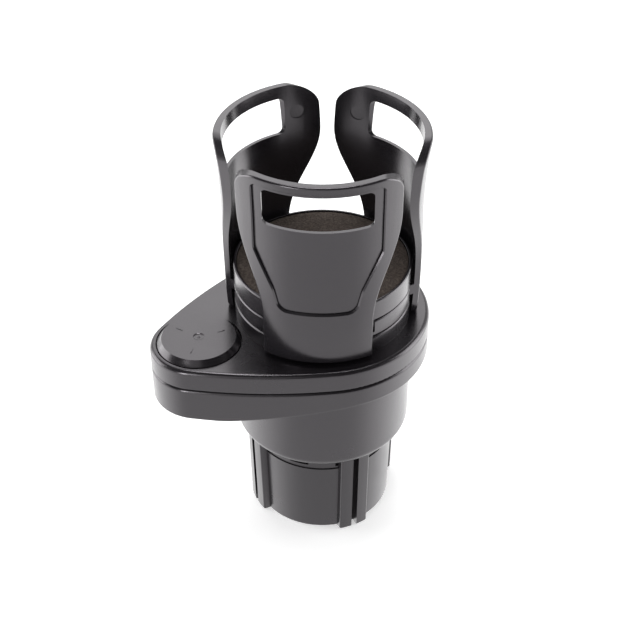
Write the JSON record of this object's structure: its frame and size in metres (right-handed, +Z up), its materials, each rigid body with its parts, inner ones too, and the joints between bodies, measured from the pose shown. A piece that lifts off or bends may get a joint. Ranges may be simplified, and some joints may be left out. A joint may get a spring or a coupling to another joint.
{
  "type": "adjustable vehicle cup holder",
  "caption": "Cup holder for a vehicle's cup well: a spreading plug, a lower cup and a swinging upper plate whose round platform carries tall petals that slide in to grip a drink.",
  "frame": {"origin": "on the axis of the plug and of both cups, level with the foot of the jaws", "axes": "+Z up along the plug's axis towards the petals; the pivot of the upper plate lies on -X; +Y completes a right-handed frame"},
  "size_m": [0.1336, 0.0996, 0.2059],
  "materials": {
    "housing_plastic": "moulded, fine satin",
    "petal_plastic": "moulded, satin outside, fine matte panel",
    "foam": "matte, fine grain",
    "steel": "zinc plated"
  },
  "bodies": {
    "lower_arm": {"lower_housing": "housing_plastic", "lower_cover": "housing_plastic", "cover_screws": "steel", "pivot_bolt": "steel", "pivot_washer": "steel", "pivot_nut": "steel"},
    "base_dial": {"base_dial": "housing_plastic", "base_pad": "foam", "base_washer": "steel", "base_screw": "steel"},
    "swing_arm": {"swing_plate": "housing_plastic", "pivot_cap": "housing_plastic", "slide_body": "housing_plastic", "body_screws": "steel", "disc_washer": "steel", "disc_screw": "steel"},
    "platform": {"platform_disc": "housing_plastic", "platform_pad": "foam"},
    "jaw_1": {"jaw_1": "housing_plastic", "jaw_shoe_1": "housing_plastic", "jaw_screw_1": "steel"},
    "jaw_2": {"jaw_2": "housing_plastic", "jaw_shoe_2": "housing_plastic", "jaw_screw_2": "steel"},
    "jaw_3": {"jaw_3": "housing_plastic", "jaw_shoe_3": "housing_plastic", "jaw_screw_3": "steel"},
    "jaw_4": {"jaw_4": "housing_plastic", "jaw_shoe_4": "housing_plastic", "jaw_screw_4": "steel"},
    "petal_1": {"petal_1": "petal_plastic"},
    "petal_2": {"petal_2": "petal_plastic"},
    "petal_3": {"petal_3": "petal_plastic"}
  },
  "joints": [
    {"name": "plate_swing", "type": "hinge", "parent": "lower_arm", "child": "swing_arm", "pos_m": [-0.0616, 0, 0.1054], "axis": [0, 0, 1], "continuous": true},
    {"name": "disc_turn", "type": "hinge", "parent": "swing_arm", "child": "platform", "pos_m": [0, 0, 0.1313], "axis": [0, 0, 1], "range_deg": [0, 150]},
    {"name": "base_turn", "type": "hinge", "parent": "lower_arm", "child": "base_dial", "pos_m": [0, 0, 0.0498], "axis": [0, 0, 1], "range_deg": [0, 140]},
    {"name": "petal_1_slide", "type": "slide", "parent": "swing_arm", "child": "petal_1", "axis": [0.9997, 0.0262, 0], "range_m": [0, 0.012]},
    {"name": "petal_2_slide", "type": "slide", "parent": "swing_arm", "child": "petal_2", "axis": [-0.5225, 0.8526, 0], "range_m": [0, 0.012]},
    {"name": "petal_3_slide", "type": "slide", "parent": "swing_arm", "child": "petal_3", "axis": [-0.4772, -0.8788, 0], "range_m": [0, 0.012]},
    {"name": "jaw_1_slide", "type": "slide", "parent": "lower_arm", "child": "jaw_1", "axis": [0.7071, -0.7071, 0], "range_m": [0, 0.011]},
    {"name": "jaw_2_slide", "type": "slide", "parent": "lower_arm", "child": "jaw_2", "axis": [0.7071, 0.7071, 0], "range_m": [0, 0.011]},
    {"name": "jaw_3_slide", "type": "slide", "parent": "lower_arm", "child": "jaw_3", "axis": [-0.7071, 0.7071, 0], "range_m": [0, 0.011]},
    {"name": "jaw_4_slide", "type": "slide", "parent": "lower_arm", "child": "jaw_4", "axis": [-0.7071, -0.7071, 0], "range_m": [0, 0.011]}
  ],
  "couplings": [
    {"joint": "petal_1_slide", "follows": "disc_turn", "m_per_rad": 0.0045836},
    {"joint": "petal_2_slide", "follows": "disc_turn", "m_per_rad": 0.0045836},
    {"joint": "petal_3_slide", "follows": "disc_turn", "m_per_rad": 0.0045836},
    {"joint": "jaw_1_slide", "follows": "base_turn", "m_per_rad": 0.0045018},
    {"joint": "jaw_2_slide", "follows": "base_turn", "m_per_rad": 0.0045018},
    {"joint": "jaw_3_slide", "follows": "base_turn", "m_per_rad": 0.0045018},
    {"joint": "jaw_4_slide", "follows": "base_turn", "m_per_rad": 0.0045018}
  ]
}
